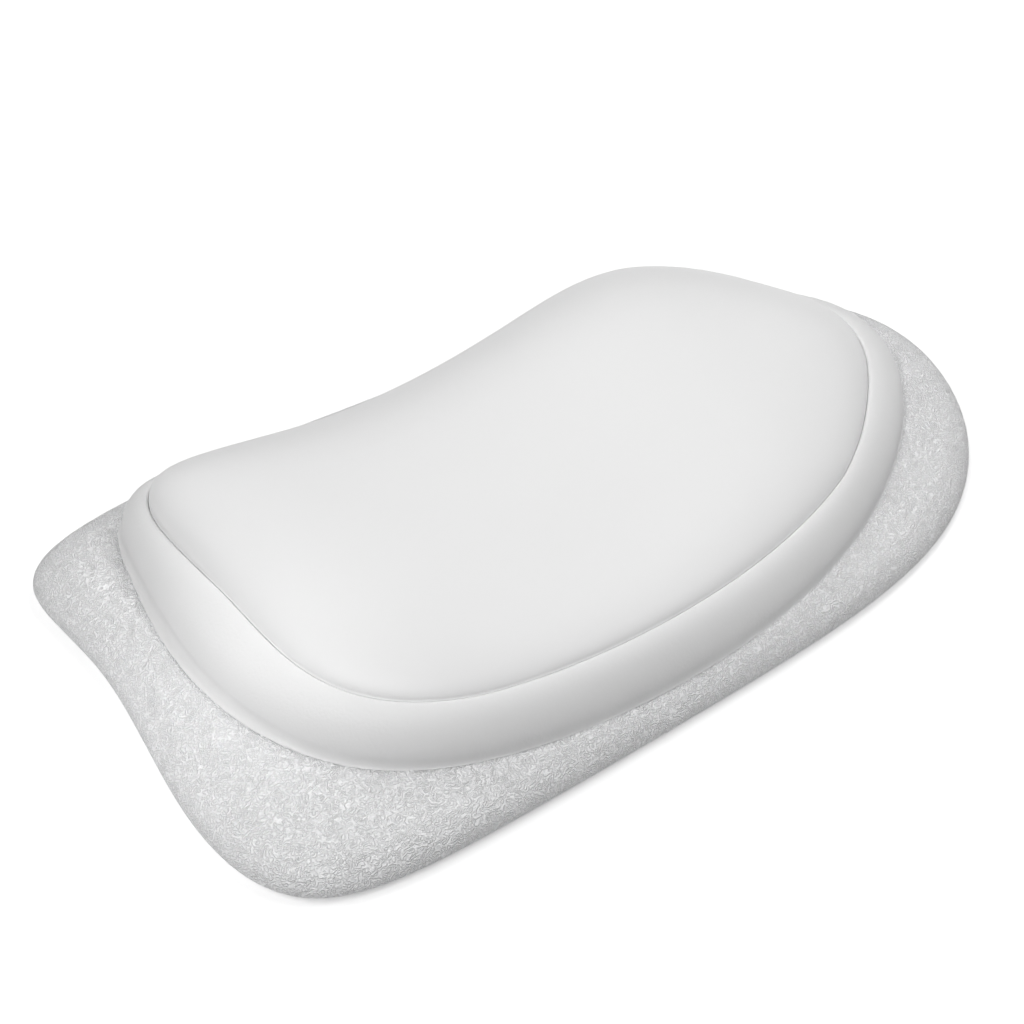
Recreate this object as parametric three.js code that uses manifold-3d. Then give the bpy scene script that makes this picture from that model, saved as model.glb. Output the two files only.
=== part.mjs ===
// Bath pillow: a grained foam base with a brim, a rounded bolster ring, a crowned pad set in the ring
// behind a narrow groove, and four suction cups that hang from sockets in a stiffener plate.
// Millimetres, +Z up. The origin is on the bath's surface, under the middle of the base.
import * as THREE from "three";
import { mergeVertices } from "three/addons/utils/BufferGeometryUtils.js";
import Module from "manifold-3d";

// Overall plan of the base
const LENGTH = 336;
const DEPTH = 186;
const CLEARANCE = 0.3; // between neighbouring pieces

// Base: height of its underside over the bath, thickness, and the roll of its edge
const BASE_GAP = 2.5;
const BASE_THICKNESS = 9.5;
const ROLL_LEFT = 24; // how far the top of the edge is rounded in, at each side
const ROLL_RIGHT = 11;
const ROLL_FRONT = 9.5;
const ROLL_BACK = 5;
const EDGE_UNDER = 4; // how far the underside of the edge is rounded in
const EDGE_UNDER_HEIGHT = 1.6;

// Brim: what shows of the base around the bolster
const BRIM_LEFT = 25;
const BRIM_RIGHT = 18;
const BRIM_FRONT = 8;
const BRIM_BACK = 7;

// Bolster: a quarter-round ring, widest at its ends and narrowest at the back
const BOLSTER_RISE = 17;
const BOLSTER_TUCK = 1.5; // how far its foot draws in
const TUCK_HEIGHT = 4;
const SHOULDER_LEFT = 21;
const SHOULDER_RIGHT = 17;
const SHOULDER_FRONT = 12.5;
const SHOULDER_BACK = 8.2;
const SHOULDER_POWER = 1.63; // 2 is a quarter ellipse, less is flatter
const REBATE_DEPTH = 5; // step inside the ring on which the pad's skirt stands
const REBATE_WIDTH = 6;

// Pad: a low crown that leans up towards the back and swells a little right of the middle
const GROOVE = 0.8;
const COVER_WALL = 2;
const FILLING_GAP = 0.9; // between the cover and its filling
const CROWN = 13;
const CROWN_POWER = 3.6; // 2 is an elliptic crown, more has squarer shoulders
const CROWN_SPINE = 0.56; // length of the crown's ridge beside the length of its edge
const SWELL = 3;
const SWELL_X = 66; // where the swell is highest
const SWELL_LEFT = 61; // how far it spreads to each side
const SWELL_RIGHT = 74;
const BACK_LEAN = 0.07; // slope of the whole pad towards its back

// Stiffener plate inside the foam
const PLATE_INSET = 11; // from the seam
const PLATE_WALL = 2.5;
const RIB_HEIGHT = 2;
const RIB_WIDTH = 2.4;
const RIM_INSET = 5;
const KEY_HOLE_RADIUS = 6; // holes that the foam keys through
const KEY_HOLE_PITCH = 34;
const KEY_HOLES = 3;

// Suction cups and their sockets
const CUP_REACH_X = 66; // cup centres from the middle of the four
const CUP_REACH_Y = DEPTH / 6;
const CUP_MIDDLE_Y = 6;
const CUP_RADIUS = 21;
const CUP_LIP = 2.5; // flat ring that meets the bath
const CUP_LIP_EDGE = 0.9;
const CUP_HOLLOW = 3.6;
const CUP_HEIGHT = 7.2; // bell, without its neck
const BELL_SWEEP = 1.5; // how late the bell turns up towards its hub, 1 is a plain arc
const CUP_HUB_RADIUS = 6.5;
const CUP_TRAVEL = 2; // how far a bell is pressed in
const NECK_RADIUS = 4.6;
const HEAD_OVERHANG = 1.9; // how far the head stands out past the neck
const HEAD_HEIGHT = 5;
const HEAD_RIM = 1; // straight edge of the head under its taper
const HEAD_TIP_RADIUS = 2.6;
const NECK_PLAY = 0.4; // between the neck and the lip that holds it
const HUB_FILLET = 1; // rise from the bell's hub to the neck
const WELL_CLEARANCE = 2; // between a cup and the wall of its well
const SOCKET_WALL = 1.4;
const SOCKET_FLANGE = 3.8; // how far the flange stands out past the barrel
const SOCKET_FLANGE_WALL = 1.8;
const SOCKET_BARB = 1; // how far the snap barb stands out past the barrel
const SOCKET_BARB_HEIGHT = 2.4;

// Facets
const AROUND = 60;
const ROUND = 24;
const BASE_ROLL_STEPS = 5;
const SHOULDER_STEPS = 7;
const BELL_STEPS = 5;
const HOLLOW_STEPS = 4;
const JOIN_DEPTH = 1; // how far ribs and cutters reach into what they join or cut
const CROWN_RINGS = [1, 0.985, 0.95, 0.88, 0.78, 0.65, 0.5, 0.32, 0.12];

// Heights worked out from the sizes above
const baseTop = BASE_GAP + BASE_THICKNESS;
const seatTop = baseTop + CLEARANCE;
const seamTop = baseTop + BOLSTER_RISE;
const rebateTop = seamTop - REBATE_DEPTH;
const plateTop = seatTop + PLATE_WALL;

// Control corners of the outlines, counter-clockwise from the middle of the left end
const BRIM_CORNERS = [
  [-163, 22], [-173, -46], [-160, -98], [-99, -101], [-20, -100], [60, -98], [113, -84], [150, -52],
  [167, -7], [158, 32], [128, 68], [70, 91], [-5, 80], [-80, 86], [-144, 86], [-181, 73],
];
const FOOT_CORNERS = [
  [-151, -5], [-133, -59], [-91, -87], [-20, -96], [50, -86], [104, -59], [141, -24],
  [148, 12], [126.7, 39.8], [72.6, 87.9], [16.8, 72.8], [-70.5, 60.7], [-139, 88], [-145, 46],
];
const BASE_BOX = { left: -LENGTH / 2, right: LENGTH / 2, front: -DEPTH / 2, back: DEPTH / 2 };
const FOOT_BOX = {
  left: BASE_BOX.left + BRIM_LEFT,
  right: BASE_BOX.right - BRIM_RIGHT,
  front: BASE_BOX.front + BRIM_FRONT,
  back: BASE_BOX.back - BRIM_BACK,
};
const SPINE_END = 75; // outlines shrink towards a spine along X
const SPINE_Y = 8;

const wasm = await Module();
wasm.setup();

// A closed cubic B-spline over control corners, stretched to fill a box.
function outline(corners, box) {
  const curve = [];
  for (let i = 0; i < AROUND; i++) {
    const t = (i * corners.length) / AROUND;
    const k = Math.floor(t);
    const u = t - k;
    const weights = [
      (1 - u) ** 3,
      3 * u ** 3 - 6 * u ** 2 + 4,
      -3 * u ** 3 + 3 * u ** 2 + 3 * u + 1,
      u ** 3,
    ];
    const point = new THREE.Vector2();
    weights.forEach((weight, j) => {
      const corner = corners[(k + j - 1 + corners.length) % corners.length];
      point.x += (weight * corner[0]) / 6;
      point.y += (weight * corner[1]) / 6;
    });
    curve.push(point);
  }
  const drawn = new THREE.Box2().setFromPoints(curve);
  for (const point of curve) {
    point.x = THREE.MathUtils.mapLinear(point.x, drawn.min.x, drawn.max.x, box.left, box.right);
    point.y = THREE.MathUtils.mapLinear(point.y, drawn.min.y, drawn.max.y, box.front, box.back);
  }
  return curve;
}

// The direction from a point of an outline towards the spine.
function inward(point) {
  const spineX = THREE.MathUtils.clamp(point.x, -SPINE_END, SPINE_END);
  return new THREE.Vector2(spineX - point.x, SPINE_Y - point.y).normalize();
}

// A width at a point of an outline, blended between its four sides.
function blend(point, left, right, front, back) {
  const d = inward(point);
  const ends = d.x > 0 ? left : right;
  const sides = d.y > 0 ? front : back;
  return ends * d.x ** 2 + sides * d.y ** 2;
}

// An outline with each point moved in by its own distance.
function shrink(curve, distanceAt) {
  return curve.map((point) => point.clone().addScaledVector(inward(point), distanceAt(point)));
}

const inset = (curve, distance) => shrink(curve, () => distance);
const shoulderAt = (p) => blend(p, SHOULDER_LEFT, SHOULDER_RIGHT, SHOULDER_FRONT, SHOULDER_BACK);
const edgeRollAt = (p) => blend(p, ROLL_LEFT, ROLL_RIGHT, ROLL_FRONT, ROLL_BACK);

const level = (curve, z) => curve.map((point) => new THREE.Vector3(point.x, point.y, z));

// A skin over rings of AROUND points. Its ends are closed across the spine, or the last ring
// meets the first.
function loft(rings, joined = false) {
  const positions = rings.flatMap((ring) => ring.flatMap((p) => [p.x, p.y, p.z]));
  const index = [];
  const quad = (a, b, c, d) => index.push(a, b, c, a, c, d);
  const last = joined ? rings.length : rings.length - 1;
  for (let r = 0; r < last; r++) {
    const low = r * AROUND;
    const high = ((r + 1) % rings.length) * AROUND;
    for (let i = 0; i < AROUND; i++) {
      const next = (i + 1) % AROUND;
      quad(low + i, low + next, high + next, high + i);
    }
  }
  if (!joined) {
    const top = (rings.length - 1) * AROUND;
    for (let i = 0; i < AROUND / 2; i++) {
      const far = (AROUND - i) % AROUND;
      const farNext = AROUND - i - 1;
      if (i > 0) index.push(top + i, top + i + 1, top + far, i, far, i + 1);
      if (farNext > i + 1) index.push(top + i + 1, top + farNext, top + far, i + 1, far, farNext);
    }
  }
  const geometry = new THREE.BufferGeometry();
  geometry.setAttribute("position", new THREE.Float32BufferAttribute(positions, 3));
  geometry.setIndex(index);
  return geometry;
}

function revolve(profile) {
  const points = profile.map(([r, z]) => new THREE.Vector2(r, z));
  return new THREE.LatheGeometry(points, ROUND).rotateX(Math.PI / 2);
}

function cylinder(radius, low, high, x, y) {
  const shape = new THREE.CylinderGeometry(radius, radius, high - low, ROUND);
  return shape.rotateX(Math.PI / 2).translate(x, y, (low + high) / 2);
}

function box(width, depth, low, high, x, y) {
  return new THREE.BoxGeometry(width, depth, high - low).translate(x, y, (low + high) / 2);
}

function solid(geometry) {
  const bare = geometry.clone();
  bare.deleteAttribute("normal");
  bare.deleteAttribute("uv");
  const merged = mergeVertices(bare, 1e-4);
  const mesh = new wasm.Mesh({
    numProp: 3,
    vertProperties: new Float32Array(merged.attributes.position.array),
    triVerts: new Uint32Array(merged.index.array),
  });
  return new wasm.Manifold(mesh);
}

function surface(body) {
  const mesh = body.getMesh();
  const geometry = new THREE.BufferGeometry();
  geometry.setAttribute("position", new THREE.BufferAttribute(mesh.vertProperties, 3));
  geometry.setIndex(new THREE.BufferAttribute(mesh.triVerts, 1));
  return geometry;
}

const joinAll = (geometries) => geometries.map(solid).reduce((sum, next) => sum.add(next));

const pillow = new THREE.Group();

function place(name, geometry, colour, roughness) {
  const shaded = geometry.index ? geometry.toNonIndexed() : geometry;
  shaded.computeVertexNormals();
  const material = new THREE.MeshStandardMaterial({ color: colour, roughness, metalness: 0 });
  const mesh = new THREE.Mesh(shaded, material);
  mesh.name = name;
  pillow.add(mesh);
}

const brimLine = outline(BRIM_CORNERS, BASE_BOX);
const footLine = outline(FOOT_CORNERS, FOOT_BOX);
const seamLine = shrink(footLine, shoulderAt);
const cupRows = [CUP_MIDDLE_Y - CUP_REACH_Y, CUP_MIDDLE_Y + CUP_REACH_Y];
const cupPlaces = cupRows.flatMap((y) => [[-CUP_REACH_X, y], [CUP_REACH_X, y]]);
const wellRadius = CUP_RADIUS + WELL_CLEARANCE;

// Base: a slab with a rolled edge and a round well for each cup
function baseFlange() {
  const rings = [];
  const widest = BASE_GAP + EDGE_UNDER_HEIGHT;
  for (let i = 0; i <= BASE_ROLL_STEPS; i++) {
    const angle = (Math.PI / 2) * (i / BASE_ROLL_STEPS);
    const z = widest - EDGE_UNDER_HEIGHT * Math.cos(angle);
    rings.push(level(inset(brimLine, EDGE_UNDER * (1 - Math.sin(angle))), z));
  }
  for (let i = 1; i <= BASE_ROLL_STEPS; i++) {
    const angle = (Math.PI / 2) * (i / BASE_ROLL_STEPS);
    const z = widest + (baseTop - widest) * Math.sin(angle);
    rings.push(level(shrink(brimLine, (p) => edgeRollAt(p) * (1 - Math.cos(angle))), z));
  }
  const wells = cupPlaces.map(([x, y]) => cylinder(wellRadius, 0, baseTop + JOIN_DEPTH, x, y));
  return surface(solid(loft(rings)).subtract(joinAll(wells)));
}

// Bolster: quarter-round outside with a drawn-in foot, and a rebate inside its top edge
function bolster() {
  const rings = [level(inset(footLine, BOLSTER_TUCK), seatTop)];
  for (let i = 0; i <= SHOULDER_STEPS; i++) {
    const angle = (Math.PI / 2) * (i / SHOULDER_STEPS);
    const across = 1 - Math.cos(angle) ** (2 / SHOULDER_POWER);
    const up = Math.sin(angle) ** (2 / SHOULDER_POWER);
    const z = seatTop + TUCK_HEIGHT + (seamTop - seatTop - TUCK_HEIGHT) * up;
    rings.push(level(shrink(footLine, (p) => shoulderAt(p) * across), z));
  }
  rings.push(level(seamLine, rebateTop));
  rings.push(level(inset(seamLine, REBATE_WIDTH), rebateTop));
  rings.push(level(inset(seamLine, REBATE_WIDTH), seatTop));
  return loft(rings, true);
}

// Height of the pad's top over the seam; part is the way from the spine to the edge.
function crownAt(x, y, part) {
  const spread = x < SWELL_X ? SWELL_LEFT : SWELL_RIGHT;
  const swell = SWELL * Math.exp(-(((x - SWELL_X) / spread) ** 2));
  const crown = (CROWN + swell) * Math.sqrt(1 - part ** CROWN_POWER);
  return crown + BACK_LEAN * (y - SPINE_Y) * (1 - part ** 2);
}

// Rings of a crowned surface inside an edge line, from the edge to the spine.
function crownRings(edge, lowered) {
  return CROWN_RINGS.map((part) =>
    edge.map((p) => {
      const x = p.x * (CROWN_SPINE + (1 - CROWN_SPINE) * part);
      const y = SPINE_Y + (p.y - SPINE_Y) * part;
      return new THREE.Vector3(x, y, seamTop - lowered + crownAt(x, y, part));
    }),
  );
}

const skirtFoot = rebateTop + CLEARANCE;
const coverOutside = inset(seamLine, GROOVE);
const coverInside = inset(coverOutside, COVER_WALL);
const fillingSide = inset(coverInside, FILLING_GAP);

// Pad cover: a moulded skin whose skirt stands in the bolster's rebate
function padCover() {
  const inner = crownRings(coverInside, COVER_WALL).reverse();
  const outer = crownRings(coverOutside, 0);
  return loft([...inner, level(coverInside, skirtFoot), level(coverOutside, skirtFoot), ...outer]);
}

function padFilling() {
  const crown = crownRings(fillingSide, COVER_WALL + FILLING_GAP);
  return loft([level(fillingSide, skirtFoot), ...crown]);
}

const plateLine = inset(seamLine, PLATE_INSET);
const rimOutside = inset(plateLine, RIM_INSET);
const rimInside = inset(rimOutside, RIB_WIDTH);
const barrelRadius = NECK_RADIUS + HEAD_OVERHANG + CLEARANCE + SOCKET_WALL;
const neckBore = NECK_RADIUS + NECK_PLAY;
const lipTop = seatTop;
const flangeTop = seatTop - CLEARANCE;
const flangeFoot = flangeTop - SOCKET_FLANGE_WALL;
const headFoot = lipTop + CLEARANCE;
const headTop = headFoot + HEAD_HEIGHT;
const socketRoof = headTop + CUP_TRAVEL + CLEARANCE;
const socketTop = socketRoof + SOCKET_WALL;
const barbFoot = plateTop + CLEARANCE;

// Stiffener plate: a flat moulding with a raised rim, two ribs, socket holes and holes for the foam
function stiffenerPlate() {
  const slab = loft([level(plateLine, seatTop), level(plateLine, plateTop)]);
  const ribTop = plateTop + RIB_HEIGHT;
  const rim = loft(
    [
      level(rimOutside, plateTop - JOIN_DEPTH),
      level(rimOutside, ribTop),
      level(rimInside, ribTop),
      level(rimInside, plateTop - JOIN_DEPTH),
    ],
    true,
  );
  const reach = 2 * CUP_REACH_X;
  const ribs = cupRows.map((y) => box(reach, RIB_WIDTH, plateTop - JOIN_DEPTH, ribTop, 0, y));
  const holes = cupPlaces.map(([x, y]) => cylinder(barrelRadius + CLEARANCE, 0, socketTop, x, y));
  const clear = cupPlaces.map(([x, y]) =>
    cylinder(barrelRadius + SOCKET_BARB + CLEARANCE, plateTop, socketTop, x, y),
  );
  for (let i = 0; i < KEY_HOLES; i++) {
    const x = (i - (KEY_HOLES - 1) / 2) * KEY_HOLE_PITCH;
    holes.push(cylinder(KEY_HOLE_RADIUS, 0, socketTop, x, SPINE_Y));
  }
  return surface(joinAll([slab, rim, ...ribs]).subtract(joinAll([...holes, ...clear])));
}

// Foam core: fills the ring under the pad, with a recess for the plate, its ribs and the sockets
function foamCore() {
  const side = inset(seamLine, REBATE_WIDTH + CLEARANCE);
  const block = loft([level(side, seatTop), level(side, rebateTop)]);
  const recess = inset(plateLine, -CLEARANCE);
  const recessTop = plateTop + CLEARANCE;
  const slab = loft([level(recess, seatTop - JOIN_DEPTH), level(recess, recessTop)]);
  const ribTop = plateTop + RIB_HEIGHT + CLEARANCE;
  const rim = loft(
    [
      level(inset(rimOutside, -CLEARANCE), seatTop),
      level(inset(rimOutside, -CLEARANCE), ribTop),
      level(inset(rimInside, CLEARANCE), ribTop),
      level(inset(rimInside, CLEARANCE), seatTop),
    ],
    true,
  );
  const reach = 2 * CUP_REACH_X + 2 * CLEARANCE;
  const width = RIB_WIDTH + 2 * CLEARANCE;
  const ribs = cupRows.map((y) => box(reach, width, seatTop, ribTop, 0, y));
  const sockets = cupPlaces.map(([x, y]) =>
    cylinder(barrelRadius + SOCKET_BARB + CLEARANCE, seatTop, socketTop + CLEARANCE, x, y),
  );
  return surface(solid(block).subtract(joinAll([slab, rim, ...ribs, ...sockets])));
}

// Socket: a snap-in barrel with a flange under the plate and a lip that holds the cup's head
function cupSocket() {
  const cavity = barrelRadius - SOCKET_WALL;
  const flangeRadius = barrelRadius + SOCKET_FLANGE;
  const barbRadius = barrelRadius + SOCKET_BARB;
  return revolve([
    [0, socketRoof],
    [cavity, socketRoof],
    [cavity, lipTop],
    [neckBore, lipTop],
    [neckBore, flangeFoot],
    [flangeRadius, flangeFoot],
    [flangeRadius, flangeTop],
    [barrelRadius, flangeTop],
    [barrelRadius, barbFoot],
    [barbRadius, barbFoot],
    [barrelRadius, barbFoot + SOCKET_BARB_HEIGHT],
    [barrelRadius, socketTop],
    [0, socketTop],
  ]);
}

// Cup: bell with a flat lip, neck and mushroom head in one piece
function suctionCup() {
  const lipInside = CUP_RADIUS - CUP_LIP;
  const hollow = [];
  for (let i = 0; i < HOLLOW_STEPS; i++) {
    const angle = (Math.PI / 2) * (i / HOLLOW_STEPS);
    hollow.push([lipInside * Math.sin(angle), CUP_HOLLOW * Math.cos(angle)]);
  }
  const bell = [];
  for (let i = 0; i <= BELL_STEPS; i++) {
    const angle = (Math.PI / 2) * (i / BELL_STEPS);
    const r = CUP_HUB_RADIUS + (CUP_RADIUS - CUP_HUB_RADIUS) * Math.cos(angle);
    bell.push([r, CUP_LIP_EDGE + (CUP_HEIGHT - CUP_LIP_EDGE) * Math.sin(angle) ** BELL_SWEEP]);
  }
  const head = NECK_RADIUS + HEAD_OVERHANG;
  return revolve([
    ...hollow,
    [lipInside, 0],
    [CUP_RADIUS, 0],
    ...bell,
    [NECK_RADIUS, CUP_HEIGHT + HUB_FILLET],
    [NECK_RADIUS, headFoot],
    [head, headFoot],
    [head, headFoot + HEAD_RIM],
    [HEAD_TIP_RADIUS, headTop],
    [0, headTop],
  ]);
}

place("base_flange", baseFlange(), 0xe9eaea, 0.62);
place("bolster", bolster(), 0xe6e7e8, 0.55);
place("pad_cover", padCover(), 0xf0f1f1, 0.42);
place("pad_filling", padFilling(), 0xf2ead2, 0.9);
place("foam_core", foamCore(), 0xefe3c4, 0.9);
place("stiffener_plate", stiffenerPlate(), 0xf2f3f3, 0.4);
cupPlaces.forEach(([x, y], i) => {
  place(`cup_socket_${i + 1}`, cupSocket().translate(x, y, 0), 0xe8eaec, 0.35);
  place(`suction_cup_${i + 1}`, suctionCup().translate(x, y, 0), 0xdfe7ea, 0.15);
});

export default pillow;
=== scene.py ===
import math

import bmesh
import bpy
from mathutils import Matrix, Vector


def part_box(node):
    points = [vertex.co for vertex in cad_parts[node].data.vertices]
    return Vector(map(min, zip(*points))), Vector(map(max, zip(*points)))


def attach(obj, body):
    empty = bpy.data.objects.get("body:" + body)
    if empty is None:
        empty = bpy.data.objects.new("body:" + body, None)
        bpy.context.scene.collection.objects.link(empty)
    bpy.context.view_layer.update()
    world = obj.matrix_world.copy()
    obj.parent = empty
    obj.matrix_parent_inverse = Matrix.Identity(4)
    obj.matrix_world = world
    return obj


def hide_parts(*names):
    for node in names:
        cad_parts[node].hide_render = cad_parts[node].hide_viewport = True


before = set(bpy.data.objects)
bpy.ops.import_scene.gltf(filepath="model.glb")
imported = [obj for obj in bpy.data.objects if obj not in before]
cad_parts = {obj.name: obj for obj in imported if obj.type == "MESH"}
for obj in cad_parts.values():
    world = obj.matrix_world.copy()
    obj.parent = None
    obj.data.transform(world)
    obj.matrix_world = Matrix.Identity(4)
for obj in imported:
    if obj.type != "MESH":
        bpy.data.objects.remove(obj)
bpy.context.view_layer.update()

# A moulded bath pillow: grained base with a brim, rounded bolster ring, and a crowned
# pad set in the ring behind a narrow groove. Sizes are in millimetres, and each
# finished mesh is scaled to metres.

MM = 0.001


def span(node):
    """Lowest and highest corner of a node in millimetres."""
    low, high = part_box(node)
    return low / MM, high / MM


base_low, base_high = span("base_flange")
ring_low, ring_high = span("bolster")
cup_names = [f"suction_cup_{i}" for i in range(1, 5)]
socket_names = [f"cup_socket_{i}" for i in range(1, 5)]

# Control corners of the two outlines, counter-clockwise from the middle of the left end
BRIM_CORNERS = [
    (-163, 22), (-173, -46), (-160, -98), (-99, -101), (-20, -100), (60, -98),
    (113, -84), (150, -52), (167, -7), (156, 29), (122, 60), (66, 89),
    (-5, 80), (-80, 86), (-144, 86), (-181, 73),
]
FOOT_CORNERS = [
    (-151, -5), (-133, -59), (-91, -87), (-20, -96), (50, -86), (104, -59),
    (141, -24), (148, 12), (126.7, 39.8), (72.6, 87.9), (16.8, 72.8),
    (-70.5, 60.7), (-139, 88), (-145, 46),
]
SPINE_END = 75  # outlines shrink towards a spine along X, this long to each side
SPINE_Y = 8
AROUND = 360  # points in an outline

# Base: its top edge rolls over widely at the left end and tightly at the back
ROLL_LEFT = 24
ROLL_RIGHT = 11
ROLL_FRONT = 9.5
ROLL_BACK = 5
ROLL_STEPS = 14
EDGE_UNDER = 4  # how far the edge is rounded in underneath
EDGE_UNDER_HEIGHT = 1.6
WELL_CLEARANCE = 2
WELL_RIM = 1.6  # round edge where a well opens underneath
WELL_RIM_STEPS = 6
CUT_PAST = 1  # how far a well's cutter reaches past the slab

# Bolster: a cove runs out from its wall to its foot on the brim, widest at the left end
COVE_LEFT = 3.6
COVE_RIGHT = 1
COVE_FRONT = 0.7
COVE_BACK = 0.8
COVE_HEIGHT = 3.4
COVE_STEPS = 6
SHOULDER_LEFT = 21
SHOULDER_RIGHT = 17
SHOULDER_FRONT = 12.5
SHOULDER_BACK = 8.2
SHOULDER_POWER = 1.63  # 2 is a quarter ellipse, less is flatter
SHOULDER_STEPS = 18
SEAM_ROLL = 1  # round edge of the bolster along the groove
SEAM_ROLL_STEPS = 5
REBATE_DEPTH = 5
REBATE_WIDTH = 6

# Pad: a skirt in the bolster's rebate, and above the groove a low crown
GROOVE = 0.6
GROOVE_DEPTH = 0.5
GROOVE_FILLET = [(0.25, 0.05), (0.06, 0.25)]  # (out, up) from the foot of the pad's side
SKIRT_GAP = 0.2  # between the skirt and the bolster under the groove
SKIRT_BEVEL = 0.1
COVER_WALL = 2
FILLING_GAP = 0.9
CROWN = 13
CROWN_POWER = 3.6  # how far out the crown stays high: more has squarer shoulders
CROWN_SPINE = 0.56  # length of the crown's ridge beside the length of its edge
CROWN_STEPS = 30
SWELL = 3  # extra height right of the middle
SWELL_X = 66  # where the swell is highest
SWELL_LEFT = 61  # how far it spreads to each side
SWELL_RIGHT = 74
BACK_LEAN = 0.07  # slope of the whole pad towards its back

# Rise of the crown from its edge: 1 is a ramp, 0.5 is round, and less is squarer
EDGE_LEFT = 0.8
EDGE_RIGHT = 0.7
EDGE_FRONT = 0.72
EDGE_BACK = 0.36
BACK_HOLD = 6  # how far round the back's rise reaches: 2 is an even blend

# Cups
CUP_LIP = 2.5
CUP_LIP_EDGE = 0.9
CUP_LIP_ROUND = [(0.3, 0), (0.09, 0.09), (0, 0.3)]  # (in, up) from the lip's corner
CUP_HOLLOW = 3.6
CUP_HOLLOW_STEPS = 14
CUP_HEIGHT = 7.2
BELL_SWEEP = 1.5  # how late the bell turns up towards its hub: 1 is a plain arc
BELL_STEPS = 16
HUB_RADIUS = 6.5
HUB_FILLET = 1
HUB_FILLET_STEPS = 5
NECK_RADIUS = 4.6
HEAD_OVERHANG = 1.9
HEAD_BEVEL = 0.25
HEAD_RIM = 1
HEAD_TIP = 2.6
HEAD_TIP_ROUND = [(0.4, 0.35), (-0.3, 0)]  # (out, down) from the tip's corner
HEAD_HEIGHT = 5

# Sockets
NECK_PLAY = 0.4
SOCKET_WALL = 1.4
SOCKET_BARB = 1
SOCKET_BARB_HEIGHT = 2.4
SOCKET_FLANGE_WALL = 1.8
SOCKET_BEVEL = 0.3
PLATE_WALL = 2.5
PIECE_GAP = 0.3

# Meshes
TURN_STEPS = 72  # in a full turn
SHARP_ANGLE = math.radians(40)  # edges sharper than this stay sharp
WELD = 1e-4
CORE_WELD = 1e-3  # for the core's own solid
SLIVER = 1e-5


def outline(corners, low, high):
    """A closed cubic B-spline over control corners, stretched to fill a box."""
    count = len(corners)
    curve = []
    for i in range(AROUND):
        k, u = divmod(i * count / AROUND, 1)
        weights = (
            (1 - u) ** 3,
            3 * u ** 3 - 6 * u ** 2 + 4,
            -3 * u ** 3 + 3 * u ** 2 + 3 * u + 1,
            u ** 3,
        )
        point = Vector((0, 0))
        for j, weight in enumerate(weights):
            point += Vector(corners[(int(k) + j - 1) % count]) * weight / 6
        curve.append(point)
    for axis in (0, 1):
        drawn_low = min(p[axis] for p in curve)
        drawn_high = max(p[axis] for p in curve)
        for p in curve:
            part = (p[axis] - drawn_low) / (drawn_high - drawn_low)
            p[axis] = low[axis] + part * (high[axis] - low[axis])
    return curve


def inward(p):
    """Direction from a point of an outline towards the spine."""
    spine_x = max(-SPINE_END, min(SPINE_END, p.x))
    return Vector((spine_x - p.x, SPINE_Y - p.y)).normalized()


def inset(curve, distance):
    """The curve moved in towards the spine."""
    return [p + inward(p) * distance for p in curve]


def blended(p, left, right, front, back):
    """A width at a point of an outline, blended between its four sides."""
    d = inward(p)
    ends = left if d.x > 0 else right
    sides = front if d.y > 0 else back
    return ends * d.x ** 2 + sides * d.y ** 2


def shoulder(p):
    """The bolster's width."""
    return blended(p, SHOULDER_LEFT, SHOULDER_RIGHT, SHOULDER_FRONT, SHOULDER_BACK)


def cove(p):
    """How far the bolster's foot runs out from its wall."""
    return blended(p, COVE_LEFT, COVE_RIGHT, COVE_FRONT, COVE_BACK)


def edge_roll(p):
    """How far the base's top edge is rounded in."""
    return blended(p, ROLL_LEFT, ROLL_RIGHT, ROLL_FRONT, ROLL_BACK)


def level(curve, z):
    """The curve as a ring of points at one height."""
    return [Vector((p.x, p.y, z)) for p in curve]


def quarter(steps):
    """Angles from 0 to a quarter turn."""
    return [math.pi / 2 * i / steps for i in range(steps + 1)]


def spine_under(curve, z):
    """The curve drawn together onto its spine.

    Front and back points come in pairs, which never turn back along the spine.
    """
    reach = []
    for i in range(AROUND // 2 + 1):
        x = CROWN_SPINE * (curve[i].x + curve[-i % AROUND].x) / 2
        reach.append(max(x, reach[-1]) if reach else x)
    return [Vector((reach[min(i, AROUND - i)], SPINE_Y, z)) for i in range(AROUND)]


def loft(rings, joined=False):
    """A closed skin: the first ring of points is extruded from ring to ring.

    The first and last rings lie on a spine and are welded shut, or the last ring comes
    back to the first.
    """
    bm = bmesh.new()
    place = bm.verts.layers.int.new("place")
    verts = [bm.verts.new(p) for p in rings[0]]
    for i, v in enumerate(verts):
        v[place] = i
    edges = [bm.edges.new((v, verts[(i + 1) % AROUND])) for i, v in enumerate(verts)]
    following = rings[1:] + rings[:1] if joined else rings[1:]
    for ring in following:
        made = bmesh.ops.extrude_edge_only(bm, edges=edges)["geom"]
        fresh = {g for g in made if isinstance(g, bmesh.types.BMVert)}
        for v in fresh:
            v.co = ring[v[place]]
        edges = [e for e in bm.edges if e.verts[0] in fresh and e.verts[1] in fresh]
    bmesh.ops.remove_doubles(bm, verts=bm.verts, dist=WELD)
    bmesh.ops.dissolve_degenerate(bm, edges=bm.edges, dist=SLIVER)
    bmesh.ops.recalc_face_normals(bm, faces=bm.faces)
    return bm


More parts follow.
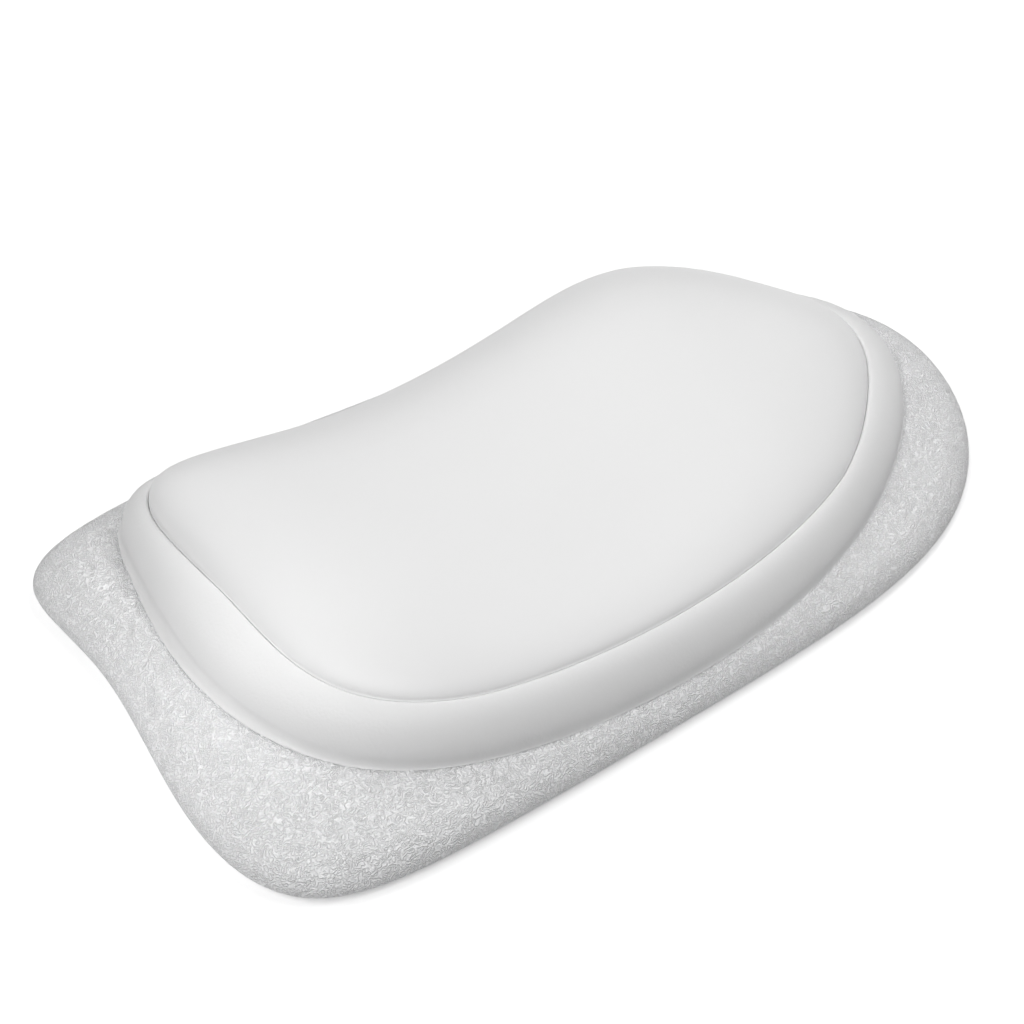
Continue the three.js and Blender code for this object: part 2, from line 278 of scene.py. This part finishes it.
def turned(profile, x, y):
    """A profile of (radius, height) points spun about an upright axis through (x, y)."""
    bm = bmesh.new()
    verts = [bm.verts.new((r, 0, z)) for r, z in profile]
    edges = [bm.edges.new(pair) for pair in zip(verts, verts[1:])]
    bmesh.ops.spin(
        bm, geom=verts + edges, cent=(0, 0, 0), axis=(0, 0, 1),
        angle=math.tau, steps=TURN_STEPS, use_merge=True,
    )
    bmesh.ops.remove_doubles(bm, verts=bm.verts, dist=WELD)
    bmesh.ops.recalc_face_normals(bm, faces=bm.faces)
    bmesh.ops.translate(bm, verts=bm.verts, vec=(x, y, 0))
    return bm


def piece(name, bm):
    """The bmesh as an object in metres, smooth apart from its sharp edges."""
    bmesh.ops.scale(bm, vec=(MM, MM, MM), verts=bm.verts)
    for face in bm.faces:
        face.smooth = True
    mesh = bpy.data.meshes.new(name)
    bm.to_mesh(mesh)
    bm.free()
    mesh.set_sharp_from_angle(angle=SHARP_ANGLE)
    obj = bpy.data.objects.new(name, mesh)
    bpy.context.scene.collection.objects.link(obj)
    return obj


def dress(obj, material, body, slot, *nodes):
    """Gives a piece its material and body, and hides the nodes that it stands for; its
    slot is not used.
    """
    obj.data.materials.append(material)
    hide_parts(*nodes)
    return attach(obj, body)


# Materials

def colour(hex_value):
    """An sRGB hex value as a linear colour."""
    channels = [int(hex_value[i:i + 2], 16) / 255 for i in (0, 2, 4)]
    linear = [
        c / 12.92 if c <= 0.04045 else ((c + 0.055) / 1.055) ** 2.4 for c in channels
    ]
    return (*linear, 1.0)


def per_metre(size_mm):
    """A pattern's scale for features of a size in millimetres."""
    return 1 / (size_mm * MM)


def add(tree, kind, inputs, **settings):
    """Adds a node with its settings, and with values or links on its inputs."""
    node = tree.nodes.new(kind)
    for name, value in settings.items():
        setattr(node, name, value)
    for socket, value in inputs.items():
        if isinstance(value, bpy.types.NodeSocket):
            tree.links.new(value, node.inputs[socket])
        else:
            node.inputs[socket].default_value = value
    return node


def new_material(name):
    """An empty material with its node tree, its output and its Object coordinates."""
    material = bpy.data.materials.new(name)
    material.use_nodes = True
    tree = material.node_tree
    tree.nodes.clear()
    output = tree.nodes.new("ShaderNodeOutputMaterial")
    place = tree.nodes.new("ShaderNodeTexCoord").outputs["Object"]
    return material, tree, output, place


def grained_skin():
    """Moulded polyurethane skin with a worm grain: short soft ridges, matt.

    The real ridges are too fine to show in the picture, so they are drawn coarser, and
    their crests are painted paler and the valleys painted darker, as painted light and
    shade.
    """
    folds = 20.0  # ridges follow the contours of soft hills: more folds set them closer
    pore_share = 0.2
    material, tree, output, place = new_material("grained_polyurethane_skin")
    hills = add(tree, "ShaderNodeTexNoise", {
        "Vector": place, "Scale": per_metre(1.15), "Detail": 0.0,
    })
    steps = add(tree, "ShaderNodeMath", {
        0: hills.outputs["Fac"], 1: folds,
    }, operation="MULTIPLY")
    ridges = add(tree, "ShaderNodeMath", {0: steps.outputs["Value"]}, operation="SINE")
    pores = add(tree, "ShaderNodeTexNoise", {
        "Vector": place, "Scale": per_metre(0.7), "Detail": 2.0,
    })
    relief = add(tree, "ShaderNodeMix", {
        "Factor": pore_share, "A": ridges.outputs["Value"], "B": pores.outputs["Fac"],
    }, data_type="FLOAT")
    bump = add(tree, "ShaderNodeBump", {
        "Strength": 1.0, "Distance": 0.18 * MM, "Height": relief.outputs["Result"],
    })
    # Painted light and shade: crests are painted paler and valleys darker, standing in
    # for the relief's own shading
    painted_relief_shade = add(tree, "ShaderNodeMapRange", {
        "Value": ridges.outputs["Value"], "From Min": -1.0, "From Max": 1.0,
    })
    tint = add(tree, "ShaderNodeMix", {
        "Factor": painted_relief_shade.outputs["Result"], "A": colour("e7e7e8"), "B": colour("fbfbfc"),
    }, data_type="RGBA")
    shine = add(tree, "ShaderNodeMapRange", {
        "Value": pores.outputs["Fac"], "To Min": 0.50, "To Max": 0.62,
    })
    shader = add(tree, "ShaderNodeBsdfPrincipled", {
        "Base Color": tint.outputs["Result"],
        "Roughness": shine.outputs["Result"],
        "IOR": 1.47,
        "Normal": bump.outputs["Normal"],
    })
    tree.links.new(shader.outputs["BSDF"], output.inputs["Surface"])
    return material


def matte_skin():
    """Moulded polyurethane skin off a finely blasted mould: even and matt.

    The blasted grit is far finer than a millimetre and wouldn't show, so it is drawn
    coarse enough to be just seen up close.
    """
    material, tree, output, place = new_material("fine_polyurethane_skin")
    grit = add(tree, "ShaderNodeTexNoise", {
        "Vector": place, "Scale": per_metre(0.9), "Detail": 2.0,
    })
    bump = add(tree, "ShaderNodeBump", {
        "Strength": 1.0, "Distance": 0.09 * MM, "Height": grit.outputs["Fac"],
    })
    patches = add(tree, "ShaderNodeTexNoise", {
        "Vector": place, "Scale": per_metre(45), "Detail": 2.0,
    })
    tint = add(tree, "ShaderNodeMix", {
        "Factor": patches.outputs["Fac"], "A": colour("eaeaea"), "B": colour("efefef"),
    }, data_type="RGBA")
    shine = add(tree, "ShaderNodeMapRange", {
        "Value": grit.outputs["Fac"], "To Min": 0.48, "To Max": 0.58,
    })
    shader = add(tree, "ShaderNodeBsdfPrincipled", {
        "Base Color": tint.outputs["Result"],
        "Roughness": shine.outputs["Result"],
        "IOR": 1.47,
        "Normal": bump.outputs["Normal"],
    })
    tree.links.new(shader.outputs["BSDF"], output.inputs["Surface"])
    return material


def smooth_skin():
    """Moulded polyurethane skin off a polished mould: satin, with a faint unevenness."""
    material, tree, output, place = new_material("smooth_polyurethane_skin")
    swell = add(tree, "ShaderNodeTexNoise", {
        "Vector": place, "Scale": per_metre(22), "Detail": 1.0,
    })
    bump = add(tree, "ShaderNodeBump", {
        "Strength": 1.0, "Distance": 0.15 * MM, "Height": swell.outputs["Fac"],
    })
    patches = add(tree, "ShaderNodeTexNoise", {
        "Vector": place, "Scale": per_metre(60), "Detail": 2.0,
    })
    tint = add(tree, "ShaderNodeMix", {
        "Factor": patches.outputs["Fac"], "A": colour("efefef"), "B": colour("f2f2f2"),
    }, data_type="RGBA")
    shine = add(tree, "ShaderNodeMapRange", {
        "Value": patches.outputs["Fac"], "To Min": 0.40, "To Max": 0.48,
    })
    shader = add(tree, "ShaderNodeBsdfPrincipled", {
        "Base Color": tint.outputs["Result"],
        "Roughness": shine.outputs["Result"],
        "IOR": 1.47,
        "Normal": bump.outputs["Normal"],
    })
    tree.links.new(shader.outputs["BSDF"], output.inputs["Surface"])
    return material


def open_foam():
    """Cut flexible polyurethane foam: pale cream, dull, pitted with open cells."""
    material, tree, output, place = new_material("open_cell_foam")
    cells = add(tree, "ShaderNodeTexVoronoi", {"Vector": place, "Scale": per_metre(1.4)})
    # Painted shade: the cells are painted darker in their pits and paler on their walls
    tint = add(tree, "ShaderNodeMix", {
        "Factor": cells.outputs["Distance"],
        "A": colour("d9ccab"),
        "B": colour("f3ead2"),
    }, data_type="RGBA")
    bump = add(tree, "ShaderNodeBump", {
        "Strength": 1.0, "Distance": 0.4 * MM, "Height": cells.outputs["Distance"],
    })
    shader = add(tree, "ShaderNodeBsdfPrincipled", {
        "Base Color": tint.outputs["Result"],
        "Roughness": 0.95,
        "Normal": bump.outputs["Normal"],
    })
    tree.links.new(shader.outputs["BSDF"], output.inputs["Surface"])
    return material


def moulded_plastic():
    """Injection-moulded polypropylene: white, slightly milky, off a spark-eroded mould.

    The mould's texture is too fine to show, so it is drawn at nearly a millimetre.
    """
    material, tree, output, place = new_material("moulded_polypropylene")
    texture = add(tree, "ShaderNodeTexNoise", {
        "Vector": place, "Scale": per_metre(0.8), "Detail": 3.0,
    })
    bump = add(tree, "ShaderNodeBump", {
        "Strength": 1.0, "Distance": 0.02 * MM, "Height": texture.outputs["Fac"],
    })
    tint = add(tree, "ShaderNodeMix", {
        "Factor": texture.outputs["Fac"], "A": colour("e9ebec"), "B": colour("f3f4f4"),
    }, data_type="RGBA")
    shine = add(tree, "ShaderNodeMapRange", {
        "Value": texture.outputs["Fac"], "To Min": 0.3, "To Max": 0.45,
    })
    shader = add(tree, "ShaderNodeBsdfPrincipled", {
        "Base Color": tint.outputs["Result"],
        "Roughness": shine.outputs["Result"],
        "IOR": 1.49,
        "Normal": bump.outputs["Normal"],
    })
    tree.links.new(shader.outputs["BSDF"], output.inputs["Surface"])
    return material


def clear_vinyl():
    """Soft PVC out of a polished mould: clear and glossy, with a cool tint."""
    material, tree, output, place = new_material("clear_soft_vinyl")
    flow = add(tree, "ShaderNodeTexNoise", {
        "Vector": place, "Scale": per_metre(7), "Detail": 1.0,
    })
    shine = add(tree, "ShaderNodeMapRange", {
        "Value": flow.outputs["Fac"], "To Min": 0.05, "To Max": 0.14,
    })
    bump = add(tree, "ShaderNodeBump", {
        "Strength": 1.0, "Distance": 0.05 * MM, "Height": flow.outputs["Fac"],
    })
    shader = add(tree, "ShaderNodeBsdfPrincipled", {
        "Base Color": colour("eaf3f5"),
        "Roughness": shine.outputs["Result"],
        "IOR": 1.53,
        "Transmission Weight": 0.9,
        "Normal": bump.outputs["Normal"],
    })
    tree.links.new(shader.outputs["BSDF"], output.inputs["Surface"])
    return material


grained = grained_skin()
matte = matte_skin()
smooth = smooth_skin()
foam = open_foam()
plastic = moulded_plastic()
vinyl = clear_vinyl()

# Heights and outlines
base_foot = base_low.z
base_top = base_high.z
seat = ring_low.z
seam_top = ring_high.z
rebate_top = seam_top - REBATE_DEPTH
skirt_foot = span("pad_cover")[0].z
brim_line = outline(BRIM_CORNERS, base_low, base_high)
foot_line = outline(FOOT_CORNERS, ring_low, ring_high)
seam_line = [p + inward(p) * shoulder(p) for p in foot_line]
cover_outside = inset(seam_line, GROOVE)
cover_inside = inset(cover_outside, COVER_WALL)


def well_cutter(name):
    """What is cut out of the base for a cup: a round well with a rim that opens out."""
    low, high = span(name)
    middle = (low + high) / 2
    radius = (high.x - low.x) / 2 + WELL_CLEARANCE
    profile = [(0, base_foot - CUT_PAST), (radius + WELL_RIM, base_foot - CUT_PAST)]
    for angle in quarter(WELL_RIM_STEPS):
        r = radius + WELL_RIM * (1 - math.sin(angle))
        profile.append((r, base_foot + WELL_RIM * (1 - math.cos(angle))))
    profile += [(radius, base_top + CUT_PAST), (0, base_top + CUT_PAST)]
    return piece("well_" + name, turned(profile, middle.x, middle.y))


def make_base():
    """A slab with a rolled edge, welded along its spine above and below, with wells."""
    widest = base_foot + EDGE_UNDER_HEIGHT
    rings = [spine_under(brim_line, base_foot)]
    for angle in quarter(ROLL_STEPS):
        z = widest - EDGE_UNDER_HEIGHT * math.cos(angle)
        rings.append(level(inset(brim_line, EDGE_UNDER * (1 - math.sin(angle))), z))
    for angle in quarter(ROLL_STEPS)[1:]:
        z = widest + (base_top - widest) * math.sin(angle)
        ring = [p + inward(p) * edge_roll(p) * (1 - math.cos(angle)) for p in brim_line]
        rings.append(level(ring, z))
    rings.append(spine_under(brim_line, base_top))
    base = piece("moulded_base", loft(rings))

    cutters = [well_cutter(name) for name in cup_names]
    for cutter in cutters:
        cut = base.modifiers.new(cutter.name, "BOOLEAN")
        cut.object = cutter
        cut.operation = "DIFFERENCE"
        cut.solver = "EXACT"
    evaluated = base.evaluated_get(bpy.context.evaluated_depsgraph_get())
    shaped = bpy.data.meshes.new_from_object(evaluated)
    base.modifiers.clear()
    base.data = shaped
    base.data.materials.clear()
    for cutter in cutters:
        bpy.data.objects.remove(cutter)
    shaped.set_sharp_from_angle(angle=SHARP_ANGLE)
    return base


def make_bolster():
    """Quarter-round ring: coved foot, small roll along the groove, rebate inside."""
    rings = []
    for angle in quarter(COVE_STEPS):
        ring = [p + inward(p) * cove(p) * math.sin(angle) for p in foot_line]
        rings.append(level(ring, seat + COVE_HEIGHT * (1 - math.cos(angle))))
    rise = seam_top - seat - COVE_HEIGHT
    for angle in quarter(SHOULDER_STEPS)[1:]:
        across = 1 - math.cos(angle) ** (2 / SHOULDER_POWER)
        up = math.sin(angle) ** (2 / SHOULDER_POWER)
        ring = []
        for p in foot_line:
            width = shoulder(p) - cove(p) - SEAM_ROLL
            ring.append(p + inward(p) * (cove(p) + width * across))
        rings.append(level(ring, seat + COVE_HEIGHT + rise * up))
    for angle in quarter(SEAM_ROLL_STEPS)[1:]:
        short = SEAM_ROLL * (1 - math.sin(angle))
        ring = [p + inward(p) * (shoulder(p) - short) for p in foot_line]
        rings.append(level(ring, seam_top - SEAM_ROLL * (1 - math.cos(angle))))
    rings.append(level(seam_line, rebate_top))
    rings.append(level(inset(seam_line, REBATE_WIDTH), rebate_top))
    rings.append(level(inset(seam_line, REBATE_WIDTH), seat))
    return piece("rolled_bolster", loft(rings, joined=True))


def crown_at(x, y, part, rise):
    """Height of the pad's top above the seam, part of the way from spine to edge."""
    spread = SWELL_LEFT if x < SWELL_X else SWELL_RIGHT
    swell = SWELL * math.exp(-((x - SWELL_X) / spread) ** 2)
    crown = (CROWN + swell) * (1 - part ** CROWN_POWER) ** rise
    return crown + BACK_LEAN * (y - SPINE_Y) * (1 - part ** 2)


def edge_rise(p):
    """Rise of the crown along its edge; the back's own reaches almost to the ends."""
    d = inward(p)
    end = EDGE_LEFT if d.x > 0 else EDGE_RIGHT
    if d.y > 0:
        return EDGE_FRONT + (end - EDGE_FRONT) * d.x ** 2
    return EDGE_BACK + (end - EDGE_BACK) * d.x ** BACK_HOLD


def crown_rings(edge, lowered):
    """Rings of a crown from an edge line up to its spine, closest at the edge."""
    spine = spine_under(edge, 0)
    rises = [edge_rise(p) for p in edge]
    rings = []
    for angle in quarter(CROWN_STEPS):
        part = max(0.0, math.cos(angle)) ** (2 / CROWN_POWER)
        ring = []
        for p, s, rise in zip(edge, spine, rises):
            x = s.x + (p.x - s.x) * part
            y = s.y + (p.y - s.y) * part
            z = seam_top - lowered + crown_at(x, y, part, rise)
            ring.append(Vector((x, y, z)))
        rings.append(ring)
    return rings


def make_pad():
    """A moulded skin with a low crown, whose skirt stands in the bolster's rebate."""
    inner = crown_rings(cover_inside, COVER_WALL)[::-1]
    skirt_side = inset(seam_line, SKIRT_GAP)
    groove_foot = seam_top - GROOVE_DEPTH
    skirt = [
        level(cover_inside, skirt_foot),
        level(skirt_side, skirt_foot),
        level(skirt_side, groove_foot - SKIRT_BEVEL),
        level(inset(skirt_side, SKIRT_BEVEL), groove_foot),
    ]
    for out, up in GROOVE_FILLET:
        skirt.append(level(inset(cover_outside, -out), groove_foot + up))
    return piece("crowned_pad", loft(inner + skirt + crown_rings(cover_outside, 0)))


def make_pad_foam():
    """Soft foam that fills the space under the pad's skin."""
    side = inset(cover_inside, FILLING_GAP)
    rings = [spine_under(side, skirt_foot), level(side, skirt_foot)]
    return piece("pad_foam", loft(rings + crown_rings(side, COVER_WALL + FILLING_GAP)))


def make_core_foam():
    """The core's own solid, with its loose triangles merged into one skin."""
    bm = bmesh.new()
    bm.from_mesh(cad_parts["foam_core"].data)
    bmesh.ops.scale(bm, vec=(1 / MM, 1 / MM, 1 / MM), verts=bm.verts)
    bmesh.ops.remove_doubles(bm, verts=bm.verts, dist=CORE_WELD)
    return piece("core_foam", bm)


def make_cup(name, number):
    """Bell with a flat lip, neck and mushroom head, turned in one piece."""
    low, high = span(name)
    radius = (high.x - low.x) / 2
    middle = (low + high) / 2
    lip_inside = radius - CUP_LIP
    head = NECK_RADIUS + HEAD_OVERHANG
    head_foot = high.z - HEAD_HEIGHT
    profile = []
    for angle in quarter(CUP_HOLLOW_STEPS):
        profile.append((lip_inside * math.sin(angle), CUP_HOLLOW * math.cos(angle)))
    profile += [(radius - back, up) for back, up in CUP_LIP_ROUND]
    bell = CUP_HEIGHT - CUP_LIP_EDGE
    for angle in quarter(BELL_STEPS):
        r = HUB_RADIUS + (radius - HUB_RADIUS) * math.cos(angle)
        profile.append((r, CUP_LIP_EDGE + bell * math.sin(angle) ** BELL_SWEEP))
    reach = HUB_RADIUS - NECK_RADIUS
    for angle in quarter(HUB_FILLET_STEPS)[1:]:
        r = HUB_RADIUS - reach * math.sin(angle)
        profile.append((r, CUP_HEIGHT + HUB_FILLET * (1 - math.cos(angle))))
    profile += [
        (NECK_RADIUS, head_foot),
        (head - HEAD_BEVEL, head_foot),
        (head, head_foot + HEAD_BEVEL),
        (head, head_foot + HEAD_RIM),
    ]
    profile += [(HEAD_TIP + out, high.z - down) for out, down in HEAD_TIP_ROUND]
    profile.append((0, high.z))
    return piece(f"vinyl_cup_{number}", turned(profile, middle.x, middle.y))


def make_socket(name, number):
    """Snap-in barrel with a flange under the plate, a barb above it and a lip inside."""
    low, high = span(name)
    middle = (low + high) / 2
    flange = (high.x - low.x) / 2
    cavity = NECK_RADIUS + HEAD_OVERHANG + PIECE_GAP
    barrel = cavity + SOCKET_WALL
    bore = NECK_RADIUS + NECK_PLAY
    flange_top = low.z + SOCKET_FLANGE_WALL
    lip_top = flange_top + PIECE_GAP
    barb_foot = span("stiffener_plate")[0].z + PLATE_WALL + PIECE_GAP
    roof = high.z - SOCKET_WALL
    profile = [
        (0, roof),
        (cavity, roof),
        (cavity, lip_top),
        (bore, lip_top),
        (bore, low.z + SOCKET_BEVEL),
        (bore + SOCKET_BEVEL, low.z),
        (flange - SOCKET_BEVEL, low.z),
        (flange, low.z + SOCKET_BEVEL),
        (flange, flange_top),
        (barrel, flange_top),
        (barrel, barb_foot),
        (barrel + SOCKET_BARB, barb_foot),
        (barrel, barb_foot + SOCKET_BARB_HEIGHT),
        (barrel, high.z - SOCKET_BEVEL),
        (barrel - SOCKET_BEVEL, high.z),
        (0, high.z),
    ]
    return piece(f"snap_socket_{number}", turned(profile, middle.x, middle.y))


base = dress(make_base(), grained, "pillow", "grained_skin", "base_flange")
bolster = dress(make_bolster(), matte, "pillow", "matte_skin", "bolster")
pad = dress(make_pad(), smooth, "pillow", "smooth_skin", "pad_cover")
pad_foam = dress(make_pad_foam(), foam, "pillow", "soft_foam", "pad_filling")
core_foam = dress(make_core_foam(), foam, "pillow", "soft_foam", "foam_core")
for number, (cup, socket) in enumerate(zip(cup_names, socket_names), start=1):
    dress(make_cup(cup, number), vinyl, f"cup_{number}", "clear_vinyl", cup)
    dress(make_socket(socket, number), plastic, "pillow", "white_plastic", socket)
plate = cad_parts["stiffener_plate"]
plate.data.materials.clear()
plate.data.materials.append(plastic)

# Floor, light and camera, in metres

FLOOR_REACH = 3.0
FLOOR_GLOW = 0.105  # light that the paper throws up at the pillow
# Glow that lifts the open paper to white in the picture, and leaves the shadow by the
# pillow: how strong it is near the middle and far from it, and where near and far are
FLOOR_NEAR_GLOW = 0.3
FLOOR_FAR_GLOW = 1.0
FLOOR_NEAR = 0.17
FLOOR_FAR = 0.34


def floor_paper():
    """White studio paper that keeps the pillow's shadow.

    From below it is clear, to show the underside.
    """
    material, tree, output, place = new_material("white_paper")
    rays = tree.nodes.new("ShaderNodeLightPath").outputs
    seen = add(tree, "ShaderNodeMath", {
        0: rays["Is Camera Ray"], 1: rays["Is Glossy Ray"],
    }, operation="MAXIMUM")
    seen = add(tree, "ShaderNodeMath", {
        0: seen.outputs["Value"], 1: rays["Is Transmission Ray"],
    }, operation="MAXIMUM")
    distance = add(tree, "ShaderNodeVectorMath", {0: place}, operation="LENGTH")
    seen_glow = add(tree, "ShaderNodeMapRange", {
        "Value": distance.outputs["Value"],
        "From Min": FLOOR_NEAR,
        "From Max": FLOOR_FAR,
        "To Min": FLOOR_NEAR_GLOW,
        "To Max": FLOOR_FAR_GLOW,
    })
    sheets = []
    for shade, glow in (("c8c8c8", FLOOR_GLOW), ("fafafa", seen_glow.outputs["Result"])):
        matt = add(tree, "ShaderNodeBsdfDiffuse", {"Color": colour(shade)})
        light = add(tree, "ShaderNodeEmission", {
            "Color": colour("ffffff"), "Strength": glow,
        })
        both = add(tree, "ShaderNodeAddShader", {
            0: matt.outputs["BSDF"], 1: light.outputs["Emission"],
        })
        sheets.append(both.outputs["Shader"])
    mixed = add(tree, "ShaderNodeMixShader", {
        0: seen.outputs["Value"], 1: sheets[0], 2: sheets[1],
    })
    below = tree.nodes.new("ShaderNodeNewGeometry").outputs["Backfacing"]
    clear = tree.nodes.new("ShaderNodeBsdfTransparent").outputs["BSDF"]
    paper = add(tree, "ShaderNodeMixShader", {
        0: below, 1: mixed.outputs["Shader"], 2: clear,
    })
    tree.links.new(paper.outputs["Shader"], output.inputs["Surface"])
    return material


floor_bm = bmesh.new()
bmesh.ops.create_grid(floor_bm, x_segments=1, y_segments=1, size=FLOOR_REACH)
floor_mesh = bpy.data.meshes.new("floor")
floor_bm.to_mesh(floor_mesh)
floor_bm.free()
floor_mesh.materials.append(floor_paper())
floor = bpy.data.objects.new("floor", floor_mesh)
bpy.context.scene.collection.objects.link(floor)

# The camera sees a white backdrop, which gives the pillow no light of its own
world = bpy.data.worlds.new("studio")
bpy.context.scene.world = world
world.use_nodes = True
room = world.node_tree
room.nodes.clear()
room_output = room.nodes.new("ShaderNodeOutputWorld")
room_rays = room.nodes.new("ShaderNodeLightPath").outputs
backdrop = add(room, "ShaderNodeBackground", {
    "Color": colour("ffffff"), "Strength": 1.0,
})
unlit = add(room, "ShaderNodeBackground", {
    "Color": colour("ffffff"), "Strength": 0.0,
})
room_mix = add(room, "ShaderNodeMixShader", {
    0: room_rays["Is Camera Ray"],
    1: unlit.outputs["Background"],
    2: backdrop.outputs["Background"],
})
room.links.new(room_mix.outputs["Shader"], room_output.inputs["Surface"])


def hang(name, data, place, aim):
    """Hangs a light at a place and turns it towards its aim."""
    light = bpy.data.objects.new(name, data)
    light.location = place
    light.rotation_mode = "QUATERNION"
    light.rotation_quaternion = (Vector(aim) - Vector(place)).to_track_quat("-Z", "Y")
    bpy.context.scene.collection.objects.link(light)
    return light


def soft_box(name, place, aim, size, watts):
    """A square area light."""
    data = bpy.data.lights.new(name, "AREA")
    data.shape = "SQUARE"
    data.size = size
    data.energy = watts
    hang(name, data, place, aim).visible_camera = False


def beam(name, place, aim, size, watts, degrees):
    """A narrow spot light that fades out towards its rim."""
    data = bpy.data.lights.new(name, "SPOT")
    data.energy = watts
    data.spot_size = math.radians(degrees)
    data.spot_blend = 1.0
    data.shadow_soft_size = size
    hang(name, data, place, aim)


MIDDLE = (0, 0, 0.03)
LEFT_END = (-0.13, -0.015, 0.025)
soft_box("top_box", (0.2, 0, 0.5), MIDDLE, 0.2, 0.683)
soft_box("left_box", (-0.6, -0.3, 0.9), MIDDLE, 0.5, 4.702)
soft_box("front_right_box", (0.22, -0.3, 0.5), MIDDLE, 0.2, 0.74)
soft_box("back_box", (-0.2, 0.8, 0.7), MIDDLE, 0.6, 1.272)
soft_box("back_right_box", (0.25, 0.35, 0.5), MIDDLE, 0.2, 0.557)
soft_box("right_box", (0.48, 0, 0.2), MIDDLE, 0.2, 0.114)
soft_box("left_end_box", (-0.25, -0.02, 0.15), LEFT_END, 0.08, 0.089)
beam("left_end_beam", (-0.24, -0.09, 0.33), LEFT_END, 0.03, 0.55, degrees=15)

# Camera at the photograph's angle: 34 degrees round to the left, 45 degrees up
AZIMUTH = math.radians(-34)
ELEVATION = math.radians(45)
CAMERA_AIM = Vector((-10.85, 17.6, 0)) * MM
CAMERA_DISTANCE = 570 * MM
LENS = 56.25
FILM_WIDTH = 36
NEAREST_SEEN = 0.01
to_camera = Vector((
    math.sin(AZIMUTH) * math.cos(ELEVATION),
    -math.cos(AZIMUTH) * math.cos(ELEVATION),
    math.sin(ELEVATION),
))
camera_data = bpy.data.cameras.new("photo_camera")
camera_data.sensor_width = FILM_WIDTH
camera_data.lens = LENS
camera_data.clip_start = NEAREST_SEEN
camera = bpy.data.objects.new("photo_camera", camera_data)
camera.location = CAMERA_AIM + to_camera * CAMERA_DISTANCE
camera.rotation_mode = "QUATERNION"
camera.rotation_quaternion = (-to_camera).to_track_quat("-Z", "Y")
bpy.context.scene.collection.objects.link(camera)
bpy.context.scene.camera = camera
bpy.context.scene.view_settings.view_transform = "Standard"

bpy.context.view_layer.update()
